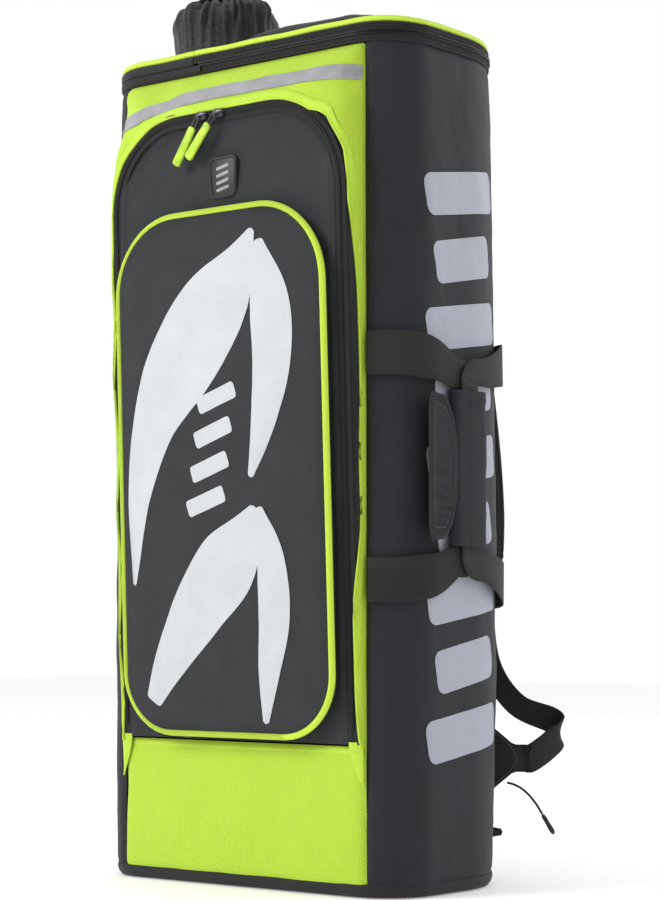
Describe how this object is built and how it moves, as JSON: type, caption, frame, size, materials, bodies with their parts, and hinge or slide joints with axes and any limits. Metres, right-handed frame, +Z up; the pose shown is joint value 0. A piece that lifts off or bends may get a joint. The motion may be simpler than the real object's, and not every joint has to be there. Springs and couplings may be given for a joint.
{
  "type": "racket tournament bag",
  "caption": "Tall soft sports bag with a zipped lid, arched front pocket, raised organizer, tube collar, wrapped side handle and back straps.",
  "frame": {"origin": "centre of the underside of the base", "axes": "+Z up along the bag's height, the zipped front pocket towards -Y, the wrapped carry handle on the +X side"},
  "size_m": [0.3669, 0.3069, 0.822],
  "materials": {
    "lime_mesh": "bright lime diamond mesh cloth, matte",
    "lime_piping": "bright lime woven piping and cord, matte",
    "black_fabric": "charcoal woven polyester, matte",
    "lining": "plain grey lining cloth on a board",
    "stiffener_board": "plain sheet plastic",
    "zip_coil": "black nylon coil on tape",
    "reflective_tape": "grey reflective tape",
    "collar_nylon": "thin crinkled charcoal nylon with a slight sheen",
    "cord": "black braided cord",
    "black_plastic": "moulded black plastic",
    "dark_metal": "dark enamelled zinc",
    "webbing": "near-black ribbed webbing",
    "grip_wrap": "navy-black padded polyester with ribbed binding",
    "padding": "charcoal spacer mesh over foam",
    "badge_rubber": "soft moulded rubber"
  },
  "bodies": {
    "shell": {"base_panel": "black_fabric", "base_board": "stiffener_board", "right_side_panel": "black_fabric", "left_side_panel": "black_fabric", "back_panel": "black_fabric", "front_lower_panel": "lime_mesh", "pocket_divider": "lining", "back_board": "stiffener_board", "rim_band": "black_fabric", "deck_band": "black_fabric", "top_deck": "black_fabric", "deck_piping": "lime_piping", "tube_collar": "collar_nylon", "collar_neck": "collar_nylon", "collar_drawcord": "cord", "cord_lock": "black_plastic", "front_frame": "lime_mesh", "frame_zip_tape": "zip_coil", "reflective_tape": "reflective_tape", "back_pad": "padding", "strap_anchor_right": "webbing", "strap_anchor_left": "webbing", "strap_webbing_right": "webbing", "strap_webbing_left": "webbing", "lashing_tab": "webbing", "pull_cord": "cord", "cord_pull": "black_plastic"},
    "lock_button": {"cord_lock_button": "black_plastic"},
    "lid": {"lid_band": "black_fabric", "lid_panel": "black_fabric", "lid_piping": "lime_piping"},
    "lid_slider": {"lid_slider": "dark_metal"},
    "lid_pull": {"lid_zip_pull": "lime_piping"},
    "flap": {"front_flap": "black_fabric", "flap_zip_tape": "zip_coil", "organizer_gusset": "black_fabric", "organizer_zip": "zip_coil", "badge": "badge_rubber"},
    "organizer_door": {"organizer_door": "black_fabric", "organizer_skirt": "black_fabric", "organizer_piping": "lime_piping"},
    "organizer_slider": {"organizer_slider": "dark_metal"},
    "front_slider_left": {"front_slider_left": "dark_metal"},
    "front_slider_right": {"front_slider_right": "dark_metal"},
    "front_pull_left": {"front_pull_left": "lime_piping"},
    "front_pull_right": {"front_pull_right": "lime_piping"},
    "handle": {"handle_webbing_front": "webbing", "handle_webbing_rear": "webbing", "handle_grip": "grip_wrap"},
    "grip_leaf": {"grip_leaf": "grip_wrap"},
    "haul_loop": {"haul_loop": "webbing"},
    "strap_right": {"shoulder_strap_right": "padding", "ladder_lock_right": "black_plastic"},
    "strap_left": {"shoulder_strap_left": "padding", "ladder_lock_left": "black_plastic"}
  },
  "joints": [
    {"name": "lock_button_press", "type": "slide", "parent": "shell", "child": "lock_button", "axis": [0, -1, 0], "range_m": [0, 0.003], "stiffness_N_per_m": 300},
    {"name": "lid_hinge", "type": "hinge", "parent": "shell", "child": "lid", "pos_m": [-0.057, 0, 0.76], "axis": [0, -1, 0], "range_deg": [0, 80]},
    {"name": "lid_slider_travel", "type": "slide", "parent": "shell", "child": "lid_slider", "axis": [1, 0, 0], "range_m": [0, 0.09]},
    {"name": "lid_pull_swing", "type": "hinge", "parent": "lid_slider", "child": "lid_pull", "pos_m": [-0.048, 0.1112, 0.7335], "axis": [1, 0, 0], "range_deg": [0, 110]},
    {"name": "flap_hinge", "type": "hinge", "parent": "shell", "child": "flap", "pos_m": [0, -0.108, 0.124], "axis": [1, 0, 0], "range_deg": [0, 90]},
    {"name": "organizer_hinge", "type": "hinge", "parent": "flap", "child": "organizer_door", "pos_m": [-0.1226, -0.11499, 0.12372], "axis": [0, 0.0395, -0.9992], "range_deg": [0, 100]},
    {"name": "organizer_slider_travel", "type": "slide", "parent": "flap", "child": "organizer_slider", "axis": [1, 0, 0], "range_m": [0, 0.06]},
    {"name": "front_slider_left_travel", "type": "slide", "parent": "flap", "child": "front_slider_left", "axis": [-1, 0, 0], "range_m": [0, 0.025]},
    {"name": "front_slider_right_travel", "type": "slide", "parent": "flap", "child": "front_slider_right", "axis": [1, 0, 0], "range_m": [0, 0.045]},
    {"name": "front_pull_left_swing", "type": "hinge", "parent": "front_slider_left", "child": "front_pull_left", "pos_m": [-0.02263, -0.13561, 0.67769], "axis": [-0.8253, -0.0223, 0.5642], "range_deg": [0, 110]},
    {"name": "front_pull_right_swing", "type": "hinge", "parent": "front_slider_right", "child": "front_pull_right", "pos_m": [-0.00285, -0.13562, 0.67786], "axis": [-0.7385, -0.0267, 0.6738], "range_deg": [0, 110]},
    {"name": "handle_lift", "type": "slide", "parent": "shell", "child": "handle", "axis": [1, 0, 0], "range_m": [0, 0.02]},
    {"name": "grip_leaf_fold", "type": "hinge", "parent": "handle", "child": "grip_leaf", "pos_m": [0.19345, -0.0435, 0.362], "axis": [0, 0, 1], "range_deg": [0, 175]},
    {"name": "haul_loop_swing", "type": "hinge", "parent": "shell", "child": "haul_loop", "pos_m": [0, 0.105, 0.689], "axis": [1, 0, 0], "range_deg": [0, 45]},
    {"name": "strap_right_swing", "type": "hinge", "parent": "shell", "child": "strap_right", "pos_m": [0.042, 0.115, 0.658], "axis": [1, 0, 0], "range_deg": [0, 12]},
    {"name": "strap_left_swing", "type": "hinge", "parent": "shell", "child": "strap_left", "pos_m": [-0.042, 0.115, 0.658], "axis": [1, 0, 0], "range_deg": [0, 12]}
  ]
}
